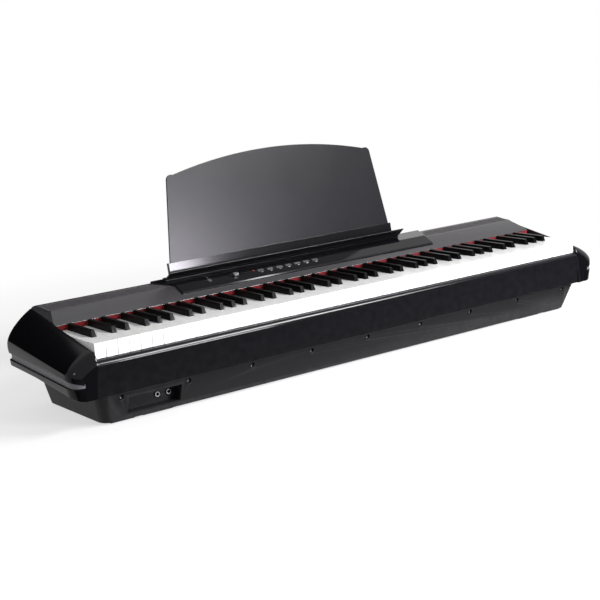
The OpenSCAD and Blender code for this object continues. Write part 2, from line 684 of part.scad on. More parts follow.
module rear_sockets() color("#1a1a1c") at_datum() difference() {
  union() {
    block([socket_x - socket_half[0], rear_y - wall, socket_z - socket_half[1]],
          [socket_x + socket_half[0], rear_y - 0.4, socket_z + socket_half[1]]);
    block([socket_x - socket_half[0] - 6, rear_y - wall - 2, socket_z - socket_half[1] - 3],
          [socket_x + socket_half[0] + 6, rear_y - wall, socket_z + socket_half[1] + 3]);
    for (x = [inlet_x, pedal_x, usb_x])
      block([x - 8, rear_y - wall - socket_depth, socket_z - 8],
            [x + 8, rear_y - wall, socket_z + 8]);
  }
  deep = rear_y - wall - socket_depth + 3;
  rod([inlet_x, deep, socket_z], inlet_r, 40, "y");
  rod([pedal_x, deep, socket_z], jack_r, 40, "y");
  block([usb_x - 6, deep + 10, socket_z - 5.5], [usb_x + 6, rear_y + 5, socket_z + 5.5]);
}
module rubber_feet() color("#151515") at_datum() {
  for (s = [-1, 1]) {
    for (y = [foot_front_y, foot_rear_y])
      block([s * foot_x - 25, y - 10, floor_z], [s * foot_x + 25, y + 10, bottom_z]);
    block([s * front_foot_x - 32, foot_front_y - 10, floor_z],
          [s * front_foot_x + 32, foot_front_y + 10, bottom_z]);
  }
}
module front_screws() color("#55555a") at_datum() for (x = front_screw_x) {
  y = front_face_y(front_screw_z) + 5;
  rod([x, y - 2.2, front_screw_z], 4, 2.2, "y");
  rod([x, y - eps, front_screw_z], 1.7, 7, "y");
}
module bottom_screws() color("#c0c0c4") at_datum() for (x = pillar_x) for (y = pillar_y) {
  z = chassis_z - 8;
  rod([x, y, z - 2.6], 4, 2.6, "z");
  rod([x, y, z - eps], 1.9, 16, "z");
}
module stand_inserts() color("#c8a850") at_datum()
  for (x = [-1, 1] * insert_span_x / 2) for (y = insert_y) difference() {
    rod([x, y, bottom_z], insert_r + 2.5, insert_len, "z");
    rod([x, y, bottom_z - 1], insert_r, insert_len + 2, "z");
  }

lower_case();
upper_case();
cheek(-1);  // left_cheek
cheek(1);  // right_cheek
key_slip();
control_panel();
grille(-1);  // left_grille
grille(1);  // right_grille
speaker(-1);  // left_speaker
speaker(1);  // right_speaker
main_board();
panel_board();
power_button();
volume_slider();
for (i = [1 : 7]) function_button(i);
power_led();
headphone_jacks();
rear_sockets();
music_rest();
rest_holder();
rubber_feet();
front_screws();
bottom_screws();
stand_inserts();
key_chassis();
key_shaft();
key_felt();
stop_felt();
key_springs();
contact_board();
for (o = [1, 2, 3, 5, 6, 7]) {
  naturals(o);
  sharps(o);
}
single_key(0);  // key_c4
single_key(1);  // key_c_sharp4
single_key(2);  // key_d4
single_key(3);  // key_d_sharp4
single_key(4);  // key_e4
single_key(5);  // key_f4
single_key(6);  // key_f_sharp4
single_key(7);  // key_g4
single_key(8);  // key_g_sharp4
single_key(9);  // key_a4
single_key(10);  // key_a_sharp4
single_key(11);  // key_b4
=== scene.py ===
"""Finished looks of a slab digital piano, built around its packed construction model."""

import json
import logging
import math
from dataclasses import dataclass
from enum import Enum

import bmesh
import bpy
from mathutils import Matrix, Vector


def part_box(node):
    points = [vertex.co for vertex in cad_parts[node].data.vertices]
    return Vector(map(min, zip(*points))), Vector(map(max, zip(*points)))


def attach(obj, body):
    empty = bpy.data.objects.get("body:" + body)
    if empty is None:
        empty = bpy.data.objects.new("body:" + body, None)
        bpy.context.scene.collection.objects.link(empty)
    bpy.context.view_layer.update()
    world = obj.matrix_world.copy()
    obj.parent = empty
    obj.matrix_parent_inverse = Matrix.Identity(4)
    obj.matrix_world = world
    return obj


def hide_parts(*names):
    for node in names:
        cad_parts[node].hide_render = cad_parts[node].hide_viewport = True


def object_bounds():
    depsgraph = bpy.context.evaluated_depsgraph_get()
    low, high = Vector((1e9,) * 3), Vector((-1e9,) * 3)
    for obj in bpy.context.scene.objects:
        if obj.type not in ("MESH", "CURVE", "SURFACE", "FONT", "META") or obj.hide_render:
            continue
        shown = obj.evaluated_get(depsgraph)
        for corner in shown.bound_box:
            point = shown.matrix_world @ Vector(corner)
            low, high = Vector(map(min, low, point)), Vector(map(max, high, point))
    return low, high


log = logging.getLogger("piano")
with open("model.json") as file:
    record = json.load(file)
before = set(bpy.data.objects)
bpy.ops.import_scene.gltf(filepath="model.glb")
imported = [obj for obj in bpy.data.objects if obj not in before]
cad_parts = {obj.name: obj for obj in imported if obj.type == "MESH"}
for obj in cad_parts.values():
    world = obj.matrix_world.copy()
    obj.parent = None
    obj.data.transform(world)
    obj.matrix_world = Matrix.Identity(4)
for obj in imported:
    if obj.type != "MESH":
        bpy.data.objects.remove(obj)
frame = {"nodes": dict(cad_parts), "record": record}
CAD_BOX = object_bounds()
MM = 0.001

# The keyboard datum is the top front edge of the white keys.
KEY_LOW, KEY_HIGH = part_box("naturals_1")
DATUM = Vector((0.0, KEY_LOW.y, KEY_HIGH.z))

Pair = tuple[float, float]
Triple = tuple[float, float, float]
Profile = list[Pair]


class Axis(Enum):
    """Direction in which an outline is drawn out."""

    X = "x"
    Y = "y"
    Z = "z"


def from_datum(x: float, y: float, z: float) -> Vector:
    """Place in metres of a point given in millimetres from the keyboard datum."""
    return DATUM + Vector((x, y, z)) * MM


# ---------------------------------------------------------------- shader groups


def group_sockets(tree: bpy.types.NodeTree, inputs: dict[str, float], outputs: dict[str, str]) -> None:
    """Gives a shader group its named sockets.

    Args:
        tree: The node group.
        inputs: Name and default of each number that goes in.
        outputs: Name and socket type of each result.
    """
    for name, default in inputs.items():
        socket = tree.interface.new_socket(name=name, in_out="INPUT", socket_type="NodeSocketFloat")
        socket.default_value = default
    for name, kind in outputs.items():
        tree.interface.new_socket(name=name, in_out="OUTPUT", socket_type=kind)


def mould_grain_group() -> bpy.types.NodeTree:
    """Builds the fine grain of a moulded or painted skin.

    Returns:
        A group with a mask for roughness and a normal.
    """
    tree = bpy.data.node_groups.new("mould_grain", "ShaderNodeTree")
    group_sockets(
        tree,
        {"Scale": 900.0, "Depth": 0.1, "Distance": 0.0001},
        {"Mask": "NodeSocketFloat", "Normal": "NodeSocketVector"},
    )
    nodes, links = tree.nodes, tree.links
    start, end = nodes.new("NodeGroupInput"), nodes.new("NodeGroupOutput")
    place = nodes.new("ShaderNodeTexCoord")
    fine, broad = nodes.new("ShaderNodeTexNoise"), nodes.new("ShaderNodeTexNoise")
    fine.inputs["Detail"].default_value = 3.0
    broad.inputs["Scale"].default_value = 11.0
    broad.inputs["Detail"].default_value = 2.0
    bump, mix = nodes.new("ShaderNodeBump"), nodes.new("ShaderNodeMath")
    mix.operation = "MULTIPLY"
    for noise in (fine, broad):
        links.new(place.outputs["Object"], noise.inputs["Vector"])
    links.new(start.outputs["Scale"], fine.inputs["Scale"])
    links.new(start.outputs["Depth"], bump.inputs["Strength"])
    links.new(start.outputs["Distance"], bump.inputs["Distance"])
    links.new(fine.outputs["Fac"], bump.inputs["Height"])
    links.new(fine.outputs["Fac"], mix.inputs[0])
    links.new(broad.outputs["Fac"], mix.inputs[1])
    links.new(mix.outputs[0], end.inputs["Mask"])
    links.new(bump.outputs["Normal"], end.inputs["Normal"])
    return tree


def edge_highlight_group() -> bpy.types.NodeTree:
    """Builds the mask of sharp edges, broken up by noise, where a painted highlight lightens the colour.

    Returns:
        A group with one mask.
    """
    tree = bpy.data.node_groups.new("painted_edge_highlight", "ShaderNodeTree")
    group_sockets(tree, {"Amount": 0.5}, {"Mask": "NodeSocketFloat"})
    nodes, links = tree.nodes, tree.links
    start, end = nodes.new("NodeGroupInput"), nodes.new("NodeGroupOutput")
    shape, ramp = nodes.new("ShaderNodeNewGeometry"), nodes.new("ShaderNodeMapRange")
    ramp.inputs["From Min"].default_value = 0.52
    ramp.inputs["From Max"].default_value = 0.62
    place, noise = nodes.new("ShaderNodeTexCoord"), nodes.new("ShaderNodeTexNoise")
    noise.inputs["Scale"].default_value = 60.0
    times, amount = nodes.new("ShaderNodeMath"), nodes.new("ShaderNodeMath")
    times.operation = amount.operation = "MULTIPLY"
    links.new(shape.outputs["Pointiness"], ramp.inputs["Value"])
    links.new(place.outputs["Object"], noise.inputs["Vector"])
    links.new(ramp.outputs["Result"], times.inputs[0])
    links.new(noise.outputs["Fac"], times.inputs[1])
    links.new(times.outputs[0], amount.inputs[0])
    links.new(start.outputs["Amount"], amount.inputs[1])
    links.new(amount.outputs[0], end.inputs["Mask"])
    return tree


def dust_group() -> bpy.types.NodeTree:
    """Builds the mask of faint dust that settles on faces that look up.

    Returns:
        A group with one mask.
    """
    tree = bpy.data.node_groups.new("settled_dust", "ShaderNodeTree")
    group_sockets(tree, {"Amount": 0.1}, {"Mask": "NodeSocketFloat"})
    nodes, links = tree.nodes, tree.links
    start, end = nodes.new("NodeGroupInput"), nodes.new("NodeGroupOutput")
    shape, split = nodes.new("ShaderNodeNewGeometry"), nodes.new("ShaderNodeSeparateXYZ")
    up, noise = nodes.new("ShaderNodeMapRange"), nodes.new("ShaderNodeTexNoise")
    up.inputs["From Min"].default_value = 0.4
    place = nodes.new("ShaderNodeTexCoord")
    noise.inputs["Scale"].default_value = 140.0
    noise.inputs["Detail"].default_value = 5.0
    times, amount = nodes.new("ShaderNodeMath"), nodes.new("ShaderNodeMath")
    times.operation = amount.operation = "MULTIPLY"
    links.new(shape.outputs["Normal"], split.inputs[0])
    links.new(split.outputs["Z"], up.inputs["Value"])
    links.new(place.outputs["Object"], noise.inputs["Vector"])
    links.new(up.outputs["Result"], times.inputs[0])
    links.new(noise.outputs["Fac"], times.inputs[1])
    links.new(times.outputs[0], amount.inputs[0])
    links.new(start.outputs["Amount"], amount.inputs[1])
    links.new(amount.outputs[0], end.inputs["Mask"])
    return tree


GRAIN = mould_grain_group()
EDGE_HIGHLIGHT = edge_highlight_group()
DUST = dust_group()


@dataclass(frozen=True)
class Finish:
    """A plastic, painted or metal finish.

    The roughness runs from smooth to smooth + spread with the grain.
    """

    slot: str
    colour: Triple
    # The second colour is painted onto sharp edges as a highlight; a circuit board uses it for its copper
    # tracks.
    highlight_and_track_colour: Triple = (0.5, 0.5, 0.52)
    smooth: float = 0.4
    spread: float = 0.12
    grain: float = 900.0
    depth: float = 0.1
    specular: float = 0.5
    metallic: float = 0.0
    coat: float = 0.0
    # How much painted highlight the sharp edges get.
    edge_highlight: float = 0.2
    dust: float = 0.03
    sheen: float = 0.0

    def build(self) -> bpy.types.Material:
        """Makes the material.

        Returns:
            The material, named after the slot.
        """
        made = bpy.data.materials.new(self.slot)
        made.use_nodes = True
        nodes, links = made.node_tree.nodes, made.node_tree.links
        skin = nodes["Principled BSDF"]
        skin.inputs["Metallic"].default_value = self.metallic
        skin.inputs["Specular IOR Level"].default_value = self.specular
        skin.inputs["Coat Weight"].default_value = self.coat
        skin.inputs["Coat Roughness"].default_value = 0.04
        skin.inputs["Sheen Weight"].default_value = self.sheen
        skin.inputs["Sheen Roughness"].default_value = 0.5
        grain, edge_highlight, dust = self.effect(nodes, GRAIN), self.effect(nodes, EDGE_HIGHLIGHT), self.effect(nodes, DUST)
        grain.inputs["Scale"].default_value = self.grain
        grain.inputs["Depth"].default_value = self.depth
        edge_highlight.inputs["Amount"].default_value = self.edge_highlight
        dust.inputs["Amount"].default_value = self.dust
        # The first mix paints a highlight on sharp edges, the second adds dust on faces that look up.
        first, second = nodes.new("ShaderNodeMix"), nodes.new("ShaderNodeMix")
        first.data_type = second.data_type = "RGBA"
        first.inputs["A"].default_value = (*self.colour, 1.0)
        first.inputs["B"].default_value = (*self.highlight_and_track_colour, 1.0)
        second.inputs["B"].default_value = (0.45, 0.44, 0.42, 1.0)
        links.new(edge_highlight.outputs["Mask"], first.inputs["Factor"])
        links.new(first.outputs["Result"], second.inputs["A"])
        links.new(dust.outputs["Mask"], second.inputs["Factor"])
        links.new(second.outputs["Result"], skin.inputs["Base Color"])
        rough = nodes.new("ShaderNodeMapRange")
        rough.inputs["To Min"].default_value = self.smooth
        rough.inputs["To Max"].default_value = self.smooth + self.spread
        links.new(grain.outputs["Mask"], rough.inputs["Value"])
        links.new(rough.outputs["Result"], skin.inputs["Roughness"])
        links.new(grain.outputs["Normal"], skin.inputs["Normal"])
        self.extra(made, skin)
        return made

    @staticmethod
    def effect(nodes: bpy.types.Nodes, tree: bpy.types.NodeTree) -> bpy.types.Node:
        """Places a shader group in a material and returns its node."""
        node = nodes.new("ShaderNodeGroup")
        node.node_tree = tree
        return node

    def extra(self, made: bpy.types.Material, skin: bpy.types.Node) -> None:
        """Adds what a special finish needs; a plain one needs nothing."""


@dataclass(frozen=True)
class Felt(Finish):
    """Wool felt: short fibres that mottle the colour."""

    def extra(self, made: bpy.types.Material, skin: bpy.types.Node) -> None:
        """Adds the mottle and the nap of the fibres."""
        nodes, links = made.node_tree.nodes, made.node_tree.links
        place, fibre = nodes.new("ShaderNodeTexCoord"), nodes.new("ShaderNodeTexNoise")
        fibre.inputs["Scale"].default_value = 1400.0
        fibre.inputs["Detail"].default_value = 6.0
        fibre.inputs["Distortion"].default_value = 1.5
        links.new(place.outputs["Object"], fibre.inputs["Vector"])
        mix = nodes.new("ShaderNodeMix")
        mix.data_type = "RGBA"
        mix.inputs["A"].default_value = (*[c * 0.5 for c in self.colour], 1.0)
        mix.inputs["B"].default_value = (*self.colour, 1.0)
        links.new(fibre.outputs["Fac"], mix.inputs["Factor"])
        links.new(mix.outputs["Result"], skin.inputs["Base Color"])
        bump = nodes.new("ShaderNodeBump")
        bump.inputs["Strength"].default_value = 0.6
        bump.inputs["Distance"].default_value = 0.0004
        links.new(fibre.outputs["Fac"], bump.inputs["Height"])
        links.new(bump.outputs["Normal"], skin.inputs["Normal"])


@dataclass(frozen=True)
class Brushed(Finish):
    """Turned or drawn metal with fine streaks along X."""

    def extra(self, made: bpy.types.Material, skin: bpy.types.Node) -> None:
        """Adds the streaks to the roughness."""
        nodes, links = made.node_tree.nodes, made.node_tree.links
        place, turn = nodes.new("ShaderNodeTexCoord"), nodes.new("ShaderNodeMapping")
        turn.inputs["Scale"].default_value = (20.0, 1500.0, 1500.0)
        streak, rough = nodes.new("ShaderNodeTexNoise"), nodes.new("ShaderNodeMapRange")
        streak.inputs["Scale"].default_value = 1.0
        rough.inputs["To Min"].default_value = self.smooth
        rough.inputs["To Max"].default_value = self.smooth + self.spread
        links.new(place.outputs["Object"], turn.inputs["Vector"])
        links.new(turn.outputs["Vector"], streak.inputs["Vector"])
        links.new(streak.outputs["Fac"], rough.inputs["Value"])
        links.new(rough.outputs["Result"], skin.inputs["Roughness"])


@dataclass(frozen=True)
class Circuit(Finish):
    """Green board with copper tracks under its mask."""

    def extra(self, made: bpy.types.Material, skin: bpy.types.Node) -> None:
        """Draws the tracks as a square cell pattern."""
        nodes, links = made.node_tree.nodes, made.node_tree.links
        place, cells = nodes.new("ShaderNodeTexCoord"), nodes.new("ShaderNodeTexVoronoi")
        cells.distance = "CHEBYCHEV"
        cells.feature = "F1"
        cells.inputs["Scale"].default_value = 160.0
        links.new(place.outputs["Object"], cells.inputs["Vector"])
        mix, step = nodes.new("ShaderNodeMix"), nodes.new("ShaderNodeMath")
        mix.data_type = "RGBA"
        step.operation = "GREATER_THAN"
        step.inputs[1].default_value = 0.42
        mix.inputs["A"].default_value = (*self.colour, 1.0)
        mix.inputs["B"].default_value = (*self.highlight_and_track_colour, 1.0)
        links.new(cells.outputs["Distance"], step.inputs[0])
        links.new(step.outputs[0], mix.inputs["Factor"])
        links.new(mix.outputs["Result"], skin.inputs["Base Color"])


@dataclass(frozen=True)
class Lamp(Finish):
    """Clear red cap of the power lamp, lit from inside."""

    def extra(self, made: bpy.types.Material, skin: bpy.types.Node) -> None:
        """Adds the glow."""
        skin.inputs["Emission Color"].default_value = (1.0, 0.12, 0.08, 1.0)
        skin.inputs["Emission Strength"].default_value = 0.1


FINISHES = {
    f.slot: f
    for f in (
        Finish(
            "case_gloss", (0.004, 0.004, 0.005), smooth=0.07, spread=0.08, depth=0.01,
            specular=0.14, edge_highlight=0.02, dust=0.004,
        ),
        Finish(
            "case_satin", (0.03, 0.028, 0.03), smooth=0.22, spread=0.12, depth=0.06, specular=0.34,
            edge_highlight=0.06, dust=0.01,
        ),
        Finish(
            "panel_gloss", (0.004, 0.004, 0.005), smooth=0.06, spread=0.06, depth=0.005,
            specular=0.22, edge_highlight=0.02, dust=0.004,
        ),
        Finish(
            "case_charcoal", (0.011, 0.0105, 0.011), smooth=0.45, spread=0.2, grain=1300.0,
            depth=0.25, specular=0.12, edge_highlight=0.05, dust=0.01,
        ),
        Finish(
            "grille_mesh", (0.06, 0.056, 0.06), smooth=0.45, spread=0.2, depth=0.1, specular=0.3,
            edge_highlight=0.1,
        ),
        Finish("speaker_black", (0.02, 0.02, 0.022), smooth=0.7, spread=0.2, depth=0.4, specular=0.2),
        Circuit("circuit_board", (0.02, 0.13, 0.05), highlight_and_track_colour=(0.05, 0.22, 0.09), smooth=0.3),
        Finish("button_plastic", (0.03, 0.03, 0.033), smooth=0.3, spread=0.15, specular=0.4, edge_highlight=0.25),
        Finish("slider_silver", (0.2, 0.2, 0.21), smooth=0.3, metallic=0.6, highlight_and_track_colour=(0.45, 0.45, 0.47)),
        Lamp("led_red", (0.6, 0.03, 0.02), smooth=0.08, spread=0.05, coat=0.5),
        Finish("socket_black", (0.012, 0.012, 0.013), smooth=0.4, specular=0.3),
        Finish(
            "rest_satin", (0.009, 0.009, 0.011), smooth=0.27, spread=0.08, grain=700.0, depth=0.05,
            specular=0.21, edge_highlight=0.04, dust=0.008,
        ),
        Finish(
            "rest_gloss", (0.007, 0.007, 0.008), smooth=0.12, spread=0.08, depth=0.01,
            specular=0.25, edge_highlight=0.04, dust=0.004,
        ),
        Finish(
            "foot_rubber", (0.012, 0.012, 0.012), smooth=0.75, spread=0.15, depth=0.4,
            specular=0.2, dust=0.05,
        ),
        Finish("screw_dark", (0.05, 0.05, 0.053), smooth=0.3, metallic=0.8, edge_highlight=0.3, highlight_and_track_colour=(0.3, 0.3, 0.31)),
        Brushed("screw_steel", (0.55, 0.56, 0.58), smooth=0.2, spread=0.25, metallic=1.0),
        Brushed("insert_brass", (0.7, 0.5, 0.2), smooth=0.2, spread=0.2, metallic=1.0),
        Finish("chassis_steel", (0.22, 0.225, 0.23), smooth=0.4, metallic=0.3, depth=0.1),
        # The red felt is darkened below its own colour to paint the shade under the panel lip.
        Felt("felt_red", (0.2, 0.002, 0.006), smooth=0.95, spread=0.05, specular=0.1, sheen=0.3),
        Felt("felt_dark", (0.2, 0.02, 0.05), smooth=0.95, spread=0.05, specular=0.1, sheen=0.3),
        Finish(
            "key_white", (0.88, 0.88, 0.87), highlight_and_track_colour=(0.9, 0.89, 0.86), smooth=0.16, spread=0.1,
            depth=0.01, specular=0.5, edge_highlight=0.1, dust=0.0,
        ),
        Finish(
            "key_black", (0.003, 0.003, 0.0035), highlight_and_track_colour=(0.05, 0.05, 0.05), smooth=0.26, spread=0.12,
            grain=1500.0, depth=0.06, specular=0.06, edge_highlight=0.1, dust=0.0,
        ),
        # Lighter grey on the glossy groove: a painted reflection of the floor.
        Finish(
            "groove_painted_reflection", (0.14, 0.135, 0.15), smooth=0.32, spread=0.15, specular=0.3, edge_highlight=0.0,
            dust=0.0,
        ),
        Finish("legend", (0.75, 0.75, 0.75), smooth=0.5, specular=0.3, edge_highlight=0.0, dust=0.0),
    )
}
MATERIALS: dict[str, bpy.types.Material] = {}


def material_of(slot: str) -> bpy.types.Material:
    """The material of a slot, built on first use."""
    if slot not in MATERIALS:
        MATERIALS[slot] = FINISHES[slot].build()
    return MATERIALS[slot]


# ---------------------------------------------------------------- mesh helpers


def outline_solid(bm: bmesh.types.BMesh, outline: Profile, low: float, high: float, axis: Axis) -> None:
    """Draws an outline out into a solid.

    Args:
        bm: The mesh that it is added to.
        outline: Points in millimetres from the datum: [y, z] for X, [x, z] for Y, [x, y] for Z.
        low: Where the solid starts on the axis, in millimetres from the datum.
        high: Where it ends.
        axis: The direction that it is drawn out in.
    """
    places = {
        Axis.X: lambda a, b, c: from_datum(c, a, b),
        Axis.Y: lambda a, b, c: from_datum(a, c, b),
        Axis.Z: lambda a, b, c: from_datum(a, b, c),
    }
    place = places[axis]
    ring = [bm.verts.new(place(a, b, low)) for a, b in outline]
    face = bm.faces.new(ring)
    drawn = bmesh.ops.extrude_face_region(bm, geom=[face])["geom"]
    far = [v for v in drawn if isinstance(v, bmesh.types.BMVert)]
    step = place(0.0, 0.0, high) - place(0.0, 0.0, low)
    bmesh.ops.translate(bm, verts=far, vec=step)
    bmesh.ops.recalc_face_normals(bm, faces=bm.faces)


def round_edges(bm: bmesh.types.BMesh, width: float, segments: int = 2, sharper: float = 30.0) -> None:
    """Bevels the edges that turn more than an angle.

    Args:
        bm: The mesh.
        width: Width of the bevel in millimetres.
        segments: Number of faces across it.
        sharper: The angle in degrees.
    """
    limit = math.radians(sharper)
    edges = [e for e in bm.edges if len(e.link_faces) == 2 and e.calc_face_angle(0.0) > limit]
    bmesh.ops.bevel(
        bm, geom=edges, offset=width * MM, offset_type="OFFSET", segments=segments,
        profile=0.5, affect="EDGES", clamp_overlap=True, material=-1,
    )


def finish_piece(
    name: str, bm: bmesh.types.BMesh, slot: str, body: str = "root", stands_for: tuple[str, ...] = (),
    crease: float = 38.0,
) -> bpy.types.Object:
    """Turns a mesh into a finished piece that rides on a body.

    Args:
        name: Name of the piece.
        bm: Its mesh, which is freed.
        slot: Material slot of the record.
        body: The body that carries it.
        stands_for: Nodes that it replaces.
        crease: Angle in degrees above which an edge stays sharp.

    Returns:
        The piece.
    """
    mesh = bpy.data.meshes.new(name)
    bm.to_mesh(mesh)
    bm.free()
    for polygon in mesh.polygons:
        polygon.use_smooth = True
    mesh.set_sharp_from_angle(angle=math.radians(crease))
    piece = bpy.data.objects.new(name, mesh)
    bpy.context.scene.collection.objects.link(piece)
    flat = piece.modifiers.new("flat_faces", "WEIGHTED_NORMAL")
    flat.keep_sharp = True
    mesh.materials.append(material_of(slot))
    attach(piece, body)
    if stands_for:
        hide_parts(*stands_for)
    log.info("%s: %d faces on %s", name, len(mesh.polygons), body)
    return piece


MERGE_REACH = 0.00001
FLAT_ANGLE = math.radians(0.5)


def merged_copy(node: str) -> bmesh.types.BMesh:
    """Copy of a node's mesh with its triangles merged into whole faces."""
    bm = bmesh.new()
    bm.from_mesh(frame["nodes"][node].data)
    bmesh.ops.remove_doubles(bm, verts=bm.verts, dist=MERGE_REACH)
    bmesh.ops.dissolve_limit(bm, angle_limit=FLAT_ANGLE, verts=bm.verts, edges=bm.edges)
    return bm


BODY_OF = {n: b for b, ns in frame["record"]["behaviour"]["bodies"].items() for n in ns}
SLOT_OF = {s["node"]: s["material_slot"] for s in frame["record"]["subparts"]}


def softened(node: str, width: float, segments: int = 2, sharper: float = 30.0) -> bpy.types.Object:
    """Makes a piece with a node's shape and rounded edges.

    Args:
        node: The node, which the piece stands for.
        width: Width of the rounding in millimetres.
        segments: Number of faces across it.
        sharper: Angle in degrees above which an edge is rounded.

    Returns:
        The piece.
    """
    bm = merged_copy(node)
    round_edges(bm, width, segments, sharper)
    return finish_piece(node + "_skin", bm, SLOT_OF[node], BODY_OF[node], (node,))


RING_STEPS = 32


def ring_piece(
    bm: bmesh.types.BMesh, centre: Vector, axis: Axis, radius: float, bore: float, depth: float,
) -> None:
    """Adds a turned washer or ferrule with rounded edges.

    Args:
        bm: The mesh that it is added to.
        centre: Middle of its front face in metres.
        axis: Direction of its axis.
        radius: Outer radius in millimetres.
        bore: Bore radius in millimetres.
        depth: Its depth along the axis in millimetres; negative runs back.
    """
    along = {Axis.X: Vector((1, 0, 0)), Axis.Y: Vector((0, 1, 0)), Axis.Z: Vector((0, 0, 1))}[axis]
    side = Vector((0, 0, 1)) if axis is not Axis.Z else Vector((1, 0, 0))
    soft = min(0.35, abs(depth) * 0.3, (radius - bore) * 0.3)
    back = depth - math.copysign(soft, depth)
    section = [
        (bore, 0.0), (radius - soft, 0.0), (radius, math.copysign(soft, depth)),
        (radius, back), (radius - soft, depth), (bore, depth),
    ]
    ring = [bm.verts.new(centre + side * r * MM + along * d * MM) for r, d in section]
    edges = [bm.edges.new((ring[i], ring[(i + 1) % len(ring)])) for i in range(len(ring))]
    bmesh.ops.spin(
        bm, geom=ring + edges, cent=centre, axis=along, angle=math.tau, steps=RING_STEPS, use_merge=True,
    )
    bmesh.ops.remove_doubles(bm, verts=bm.verts, dist=0.000001)
    bmesh.ops.recalc_face_normals(bm, faces=bm.faces)


# ---------------------------------------------------------------- sub-assemblies


@dataclass
class Cheek:
    """Glossy end block with a crowned shoulder and a lens-shaped groove. Sizes in millimetres."""

    side: int
    inner_x: float = 612.5
    width: float = 54.5
    front_y: float = -13.0
    rear_y: float = 255.0
    top_y: float = 238.0
    split_z: float = -97.0
    skirt_x: float = 620.0
    nose: float = 27.0
    edge_front_z: float = -14.5
    edge_rise: float = 46.0
    side_draws_front: float = 24.0
    side_draws_rear: float = 16.0
    top_round: float = 20.0
    top_drops_front: float = 24.0
    top_drops_rear: float = 44.0
    under_low: float = -88.0
    under_mid: float = -75.5
    under_dip: float = 8.5
    under_end_rise: float = 6.2
    under_bend_y: float = 20.0
    under_rear_y: float = 140.0
    shoulder_front_z: float = -50.0
    shoulder_rise: float = 25.0
    flat_top: float = 3.5
    arc_steps: int = 14
    stations: int = 64
    groove_first: int = 21
    groove_last: int = 27

    def top_z(self, y: float) -> float:
        """Height of the straight top edge."""
        return self.edge_front_z + y * self.edge_rise / self.top_y

    def inset(self, y: float) -> float:
        """How far the side draws in at the two ends."""
        front = max(0.0, 1 - (y - self.front_y) / self.nose)
        rear = max(0.0, (y - self.top_y) / (self.rear_y - self.top_y))
        return self.side_draws_front * (1 - math.sqrt(1 - front * front)) + self.side_draws_rear * rear**3

    def drop(self, y: float) -> float:
        """How far the top falls away at the two ends."""
        front = max(0.0, 1 - (y - self.front_y) / self.top_round)
        rear = max(0.0, (y - self.top_y) / (self.rear_y - self.top_y))
        return self.top_drops_front * (1 - math.sqrt(1 - front * front)) + self.top_drops_rear * rear**1.35

    def under_z(self, y: float) -> float:
        """Height of the rising underside."""
        bend, rear = self.under_bend_y, self.under_rear_y
        if y > rear:
            return self.under_mid + (y - rear) * self.under_end_rise / (self.rear_y - rear)
        if y > bend:
            return self.under_low + (y - bend) * (self.under_mid - self.under_low) / (rear - bend)
        dip = self.under_low + (y - bend) * self.under_dip / (bend - self.front_y)
        return max(self.split_z + 0.6, dip)

    def section(self, y: float) -> Profile:
        """Closed outline of the cheek at one depth, as [x, z] points."""
        inset, drop = self.inset(y), self.drop(y)
        top = self.top_z(y) - drop
        shoulder = self.shoulder_front_z + self.shoulder_rise * y / self.top_y - drop / 3
        rise = top - shoulder
        x0 = self.inner_x + self.flat_top
        w = self.width - self.flat_top - inset
        points = [(self.inner_x, self.split_z), (self.inner_x, top - 1.2), (self.inner_x + 1.0, top - 0.2)]
        for i in range(self.arc_steps + 1):
            t = math.radians(90) * i / self.arc_steps
            points.append((x0 + w * math.sin(t), top - rise * (0.5 * math.sin(t) + 0.5 - 0.5 * math.cos(t))))
        # The groove grows out of the nose, then opens slowly towards the rear.
        f = min(1.0, max(0.0, (y + 14) / 34))
        open_y = min(1.0, max(0.0, (y - 20) / 240))
        high = -64.5 + 7.5 * f + 13 * open_y
        low = -71.5 + 1.0 * f + 13.5 * open_y
        edge = x0 + w
        deep = 5.5 * f**0.6
        under = self.under_z(y)

        def face(z: float) -> float:
            """Side of the cheek at a height, without the groove."""
            return edge - 1 - 5 * max(0.0, (shoulder - 22 - z)) / (shoulder - 22 - self.split_z)

        points += [
            (edge, shoulder - 8), (face(high + 2), high + 2.5), (face(high) - 0.2, high + 0.5),
            (face(high) - 0.8 * deep, high - 0.3), (face(high) - deep, high - 1.6),
            (face(high) - 0.97 * deep, (2 * high + low) / 3), (face(low) - 0.85 * deep, (high + 2 * low) / 3),
            (face(low) - 0.7 * deep, low + 0.8), (face(low) - 0.6 * deep, low),
            (face(low) - 0.25, low - 0.9),
            (face(low - 3), low - 3.0), (face(under), under + 1.0), (face(under) - 1.2, under),
            (self.skirt_x, under), (self.skirt_x, self.split_z),
        ]
        return points

    def build(self) -> None:
        """Lofts the sections from front to back and closes the ends."""
        bm = bmesh.new()
        rows, painted_reflection_verts = [], set()
        for i in range(self.stations + 1):
            u = i / self.stations
            y = self.front_y + (self.rear_y - self.front_y) * (u - math.sin(math.tau * u) / math.tau * 0.97)
            row = [bm.verts.new(from_datum(self.side * x, y, z)) for x, z in self.section(y)]
            # The groove faces get a lighter grey that paints the reflection of the floor.
            painted_reflection_verts.update(row[self.groove_first : self.groove_last])
            rows.append(row)
        loops = [[bm.edges.new((row[k], row[(k + 1) % len(row)])) for k in range(len(row))] for row in rows]
        for near, far in zip(loops, loops[1:]):
            made = bmesh.ops.bridge_loops(bm, edges=near + far)["faces"]
            for face in made:
                if all(v in painted_reflection_verts for v in face.verts):
                    face.material_index = 1
        for row in (rows[0], rows[-1]):
            bm.faces.new(row)
        bmesh.ops.recalc_face_normals(bm, faces=bm.faces)
        name = "left_cheek" if self.side < 0 else "right_cheek"
        shell = finish_piece(name + "_shell", bm, "case_gloss", "root", (name,), crease=50.0)
        shell.data.materials.append(material_of("groove_painted_reflection"))


